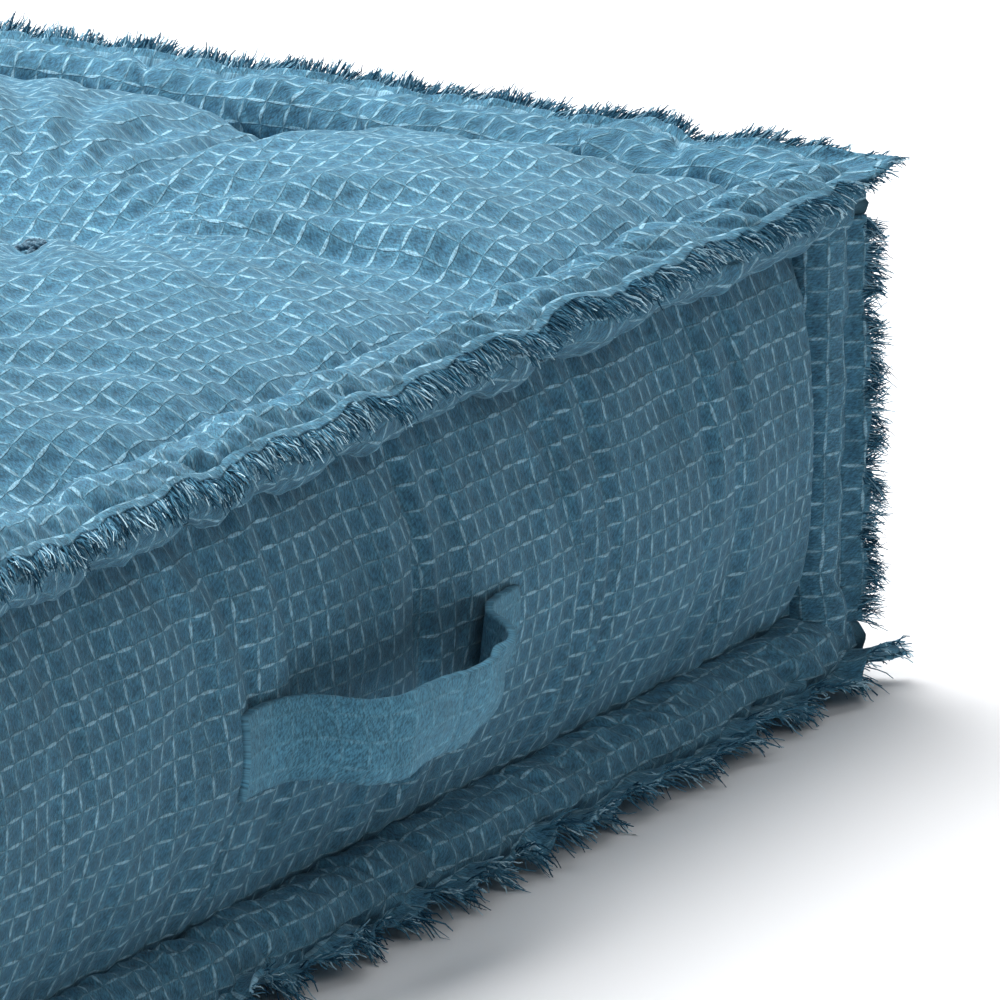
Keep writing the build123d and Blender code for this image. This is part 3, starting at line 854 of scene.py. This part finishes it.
def handle(front):
    """The strap, stitched flat at both ends and bowed out between them, in two halves."""
    top_off = HANDLE_REACH - 2.0
    knots = np.array([(-HANDLE_HALF, 0.9), (-58, 1.1), (-51, 3.0), (-45, 8.0), (-40, 15.0), (-35, 21.0),
                      (-27, top_off), (-5, top_off + 0.3), (14, top_off), (28, top_off - 1.0), (36, 19.0),
                      (42, 13.0), (48, 6.5), (55, 2.2), (62, 1.1), (HANDLE_HALF, 0.9)])
    run = np.concatenate([[0], np.cumsum(np.linalg.norm(np.diff(knots, axis=0), axis=1))])
    fine = np.linspace(0, run[-1], 4000)
    route = np.stack([np.interp(fine, run, knots[:, k]) for k in (0, 1)], -1)
    kernel = np.hanning(181)
    kernel /= kernel.sum()
    ends = [np.repeat(route[k:k + 1], 90, 0) for k in (0, -1)]
    long = np.concatenate([ends[0], route, ends[1]])
    route = np.stack([np.convolve(long[:, k], kernel, "valid") for k in (0, 1)], -1)
    route[0, 0], route[-1, 0] = -HANDLE_HALF, HANDLE_HALF
    length = np.concatenate([[0], np.cumsum(np.linalg.norm(np.diff(route, axis=0), axis=1))])
    at_middle = np.interp(0, route[:, 0], length)
    for end, low, high in (("left", 0, at_middle), ("right", at_middle, length[-1])):
        count = int((high - low) / 1.3)
        where = np.linspace(low, high, count + 1)
        x = np.interp(where, length, route[:, 0])[:, None]
        off = np.interp(where, length, route[:, 1])[:, None]
        v = np.linspace(-0.5, 0.5, 19)[None, :]
        x, off, v = np.broadcast_arrays(x, off, v)
        run_here = where[:, None] + 0 * v
        free = smooth(np.abs(x), HANDLE_HALF - 8, HANDLE_HALF - 26)
        z = HANDLE_Z + v * HANDLE_WIDTH + free * (0.4 * waves(90, 50, run_here) - 2.6 * off / HANDLE_REACH)
        curl = (0.5 * waves(91, 22, run_here, v * HANDLE_WIDTH)
                - 5.0 * v * v * (1 - free * 0.3)
                + 7.0 * v * smooth(x, -40, 25) * smooth(off, 2, 15))
        out = face_out(front, x, z) + off + 0.9 + free * curl
        middle = place("front", x, out, z)
        weave = np.stack([run_here, v * HANDLE_WIDTH], -1)
        piece = strip(f"handle_{end}_half", middle, weave, 2.2, body=None, material=strap_cloth)
        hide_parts(f"handle_{end}_end")
        if end == "left":
            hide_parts("handle_strap")
        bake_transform(piece)


# ---------------------------------------------------------------- build

top_panel()
side_points = {side: side_panel(side, 100 + 10 * number) for number, side in enumerate(TURNS)}
bottom_panel()
for number, (level, side) in enumerate([(level, side) for level in ("top", "bottom") for side in TURNS]):
    seed = 200 + 20 * number
    roll = level_roll(side, level, ROLL, ROLL_STEP, cover, f"{level}_{side}_roll_cloth", seed)
    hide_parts(f"{level}_{side}_roll")
    wadding = level_roll(side, level, ROLL * WADDING, WADDING_STEP, filling, f"{level}_{side}_wadding",
                         seed, 0.5, 0.0)
    if side == "front":
        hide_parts(f"{level}_roll_wadding")
    level_edge(side, level, seed + 10, seed)
for number, corner in enumerate(CORNERS):
    seed = 400 + 20 * number
    roll = corner_roll(corner, CORNER_ROLL, ROLL_STEP, cover, f"{corner}_roll_cloth", seed)
    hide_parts(f"{corner}_corner_roll")
    wadding = corner_roll(corner, CORNER_ROLL * WADDING, WADDING_STEP, filling, f"{corner}_wadding",
                          seed, 0.5, 0.0)
    if corner == "front_left":
        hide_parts("corner_roll_wadding")
    corner_edge(corner, seed + 10)
tufts("top")
tufts("bottom")
twine()
filling_block()
handle(side_points["front"])


# ---------------------------------------------------------------- floor, light and camera

def studio():
    """Pale floor, soft light from above and behind, and a white background for the camera."""
    size = 12.0
    mesh = bpy.data.meshes.new("floor")
    corner = [(-size, -size, 0), (size, -size, 0), (size, size, 0), (-size, size, 0)]
    mesh.from_pydata(corner, [], [(0, 1, 2, 3)])
    floor = bpy.data.objects.new("floor", mesh)
    bpy.context.scene.collection.objects.link(floor)
    n = Nodes("floor_paint")
    where = n.add("ShaderNodeTexCoord").outputs["Object"]
    speckle = n.noise(where, 3.0, 3.0)
    n.set(Base_Color=n.mix(speckle, colour(238, 238, 240), colour(243, 243, 244)), Roughness=0.55)
    mesh.materials.append(n.material)

    world = bpy.data.worlds.new("studio")
    world.use_nodes = True
    tree = world.node_tree
    tree.nodes.clear()
    seen = tree.nodes.new("ShaderNodeBackground")
    seen.inputs[0].default_value, seen.inputs[1].default_value = (1, 1, 1, 1), 1.0
    lit = tree.nodes.new("ShaderNodeBackground")
    lit.inputs[0].default_value, lit.inputs[1].default_value = (0.93, 0.97, 1.0, 1), 0.12
    ray = tree.nodes.new("ShaderNodeLightPath")
    choose = tree.nodes.new("ShaderNodeMixShader")
    out = tree.nodes.new("ShaderNodeOutputWorld")
    tree.links.new(ray.outputs["Is Camera Ray"], choose.inputs[0])
    tree.links.new(lit.outputs[0], choose.inputs[1])
    tree.links.new(seen.outputs[0], choose.inputs[2])
    tree.links.new(choose.outputs[0], out.inputs[0])
    bpy.context.scene.world = world

    def softbox(name, place_at, aim, wide, power):
        """A square area light aimed at a point."""
        light = bpy.data.lights.new(name, "AREA")
        light.size = wide
        light.energy = power
        obj = bpy.data.objects.new(name, light)
        obj.location = place_at
        obj.rotation_mode = "QUATERNION"
        obj.rotation_quaternion = (Vector(aim) - Vector(place_at)).to_track_quat("-Z", "Y")
        bpy.context.scene.collection.objects.link(obj)

    softbox("key", (0.2, 0.75, 1.8), (0, 0, 0), 2.4, 122.0)
    softbox("fill", (-1.2, -1.7, 1.9), (0.05, -0.2, 0.12), 1.4, 14.0)
    bpy.context.scene.view_settings.view_transform = "Standard"
    bpy.context.scene.view_settings.look = "None"


def camera():
    """Long lens on the front right corner, from the left of the handle side."""
    azimuth, elevation, distance = math.radians(-61), math.radians(15.3), 3.8
    back = Vector((math.sin(azimuth) * math.cos(elevation), -math.cos(azimuth) * math.cos(elevation),
                   math.sin(elevation)))
    right = Vector((math.cos(azimuth), math.sin(azimuth), 0))
    up = back.cross(right)
    tip = Vector((EDGE_OUT, -EDGE_OUT, TOP_Z + ROLL + 4)) / 1000
    aim = tip - right * 0.1123 - up * 0.1011
    data = bpy.data.cameras.new("camera")
    data.sensor_width = 36.0
    data.lens = 485.0
    data.clip_end = 60.0
    obj = bpy.data.objects.new("camera", data)
    obj.location = aim + back * distance
    obj.rotation_mode = "QUATERNION"
    obj.rotation_quaternion = (-back).to_track_quat("-Z", "Y")
    bpy.context.scene.collection.objects.link(obj)
    bpy.context.scene.camera = obj


studio()
camera()
